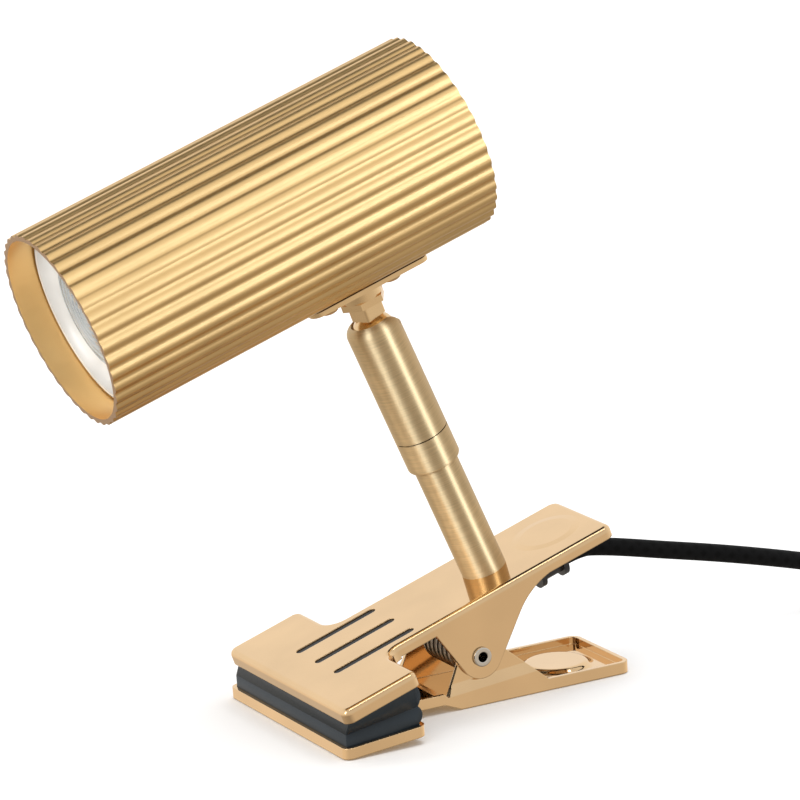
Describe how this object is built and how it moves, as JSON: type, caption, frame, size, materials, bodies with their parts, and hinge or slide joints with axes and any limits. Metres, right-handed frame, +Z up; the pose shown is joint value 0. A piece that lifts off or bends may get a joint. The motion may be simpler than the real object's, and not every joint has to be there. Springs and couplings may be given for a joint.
{
  "type": "clip-on reading lamp",
  "caption": "Gold clip-on reading lamp: fluted spot head on a swivel arm and ball joint, standing on a sprung clip with rubber jaws, with a push switch and a black textile cord and plug.",
  "frame": {"origin": "on the table under the middle of the lamp, its cord left out", "axes": "X along the clip from jaws (-X) to handles (+X), +Y the side away from the picture's camera, +Z up"},
  "size_m": [0.4178, 0.0825, 0.1813],
  "materials": {
    "polished_gold": "polished, warm gold plating",
    "satin_gold": "satin gold anodised",
    "brushed_brass": "brushed satin",
    "rubber": "matt, ribbed by use",
    "nickel": "bright nickel",
    "spring_steel": "plain drawn wire and strip",
    "zinc_steel": "zinc plated",
    "bearing_plastic": "plain",
    "cord_textile": "black braid",
    "tie_fabric": "black woven strap",
    "black_plastic": "fine moulded",
    "bulb_white": "off-white",
    "bulb_glass": "clear, slightly grey",
    "holder_ceramic": "white ceramic",
    "contact_brass": "plain",
    "wire_insulation": "silicone insulation"
  },
  "bodies": {
    "lower_jaw": {"lower_plate": "polished_gold", "lower_pad": "rubber", "pivot_rivet": "nickel", "torsion_spring": "spring_steel", "cord_run": "cord_textile", "cord_coil": "cord_textile", "coil_tie": "tie_fabric", "cord_tail": "cord_textile", "plug_body": "black_plastic", "plug_pins": "nickel"},
    "upper_jaw": {"top_plate": "polished_gold", "upper_pad": "rubber", "arm_tube": "brushed_brass", "arm_foot_ring": "zinc_steel", "base_nipple": "zinc_steel", "base_washer": "zinc_steel", "base_nut": "zinc_steel", "arm_collar": "brushed_brass", "swivel_spigot": "zinc_steel", "spigot_circlip": "spring_steel", "cord_grip": "black_plastic", "cord_lead": "cord_textile", "arm_wires": "wire_insulation"},
    "sleeve": {"swivel_sleeve": "brushed_brass", "sleeve_bush": "bearing_plastic", "disc_springs": "spring_steel", "ball_seat": "bearing_plastic"},
    "head": {"swivel_stub": "brushed_brass", "boss_washer": "brushed_brass", "bracket_plate": "brushed_brass", "bracket_screws": "nickel", "shade_tube": "satin_gold", "rear_cap": "satin_gold", "bulb_body": "bulb_white", "bulb_lens": "bulb_glass", "bulb_pins": "nickel", "lamp_holder": "holder_ceramic", "holder_contacts": "contact_brass", "holder_strip": "zinc_steel", "holder_screws": "nickel", "stub_washer": "zinc_steel", "stub_nut": "zinc_steel", "head_wires": "wire_insulation", "switch_body": "black_plastic", "switch_nut": "zinc_steel"},
    "button": {"switch_button": "black_plastic"}
  },
  "joints": [
    {"name": "clip_open", "type": "hinge", "parent": "lower_jaw", "child": "upper_jaw", "pos_m": [0.03479, 0, 0.01371], "axis": [0, 1, 0], "range_deg": [0, 28], "stiffness_Nm_per_rad": 1.2, "springref_deg": -51.57, "deforming": ["torsion_spring", "cord_run"]},
    {"name": "head_swivel", "type": "hinge", "parent": "upper_jaw", "child": "sleeve", "pos_m": [0.0454, 0, 0.03294], "axis": [-0.3649, 0, 0.9311], "range_deg": [-165, 165]},
    {"name": "head_tilt", "type": "hinge", "parent": "sleeve", "child": "head", "pos_m": [0.01778, 0, 0.10342], "axis": [0, 1, 0], "range_deg": [-9, 36]},
    {"name": "switch_press", "type": "slide", "parent": "head", "child": "button", "axis": [-0.9537, 0, -0.3007], "range_m": [0, 0.0016], "stiffness_N_per_m": 300, "springref_m": -0.002}
  ]
}
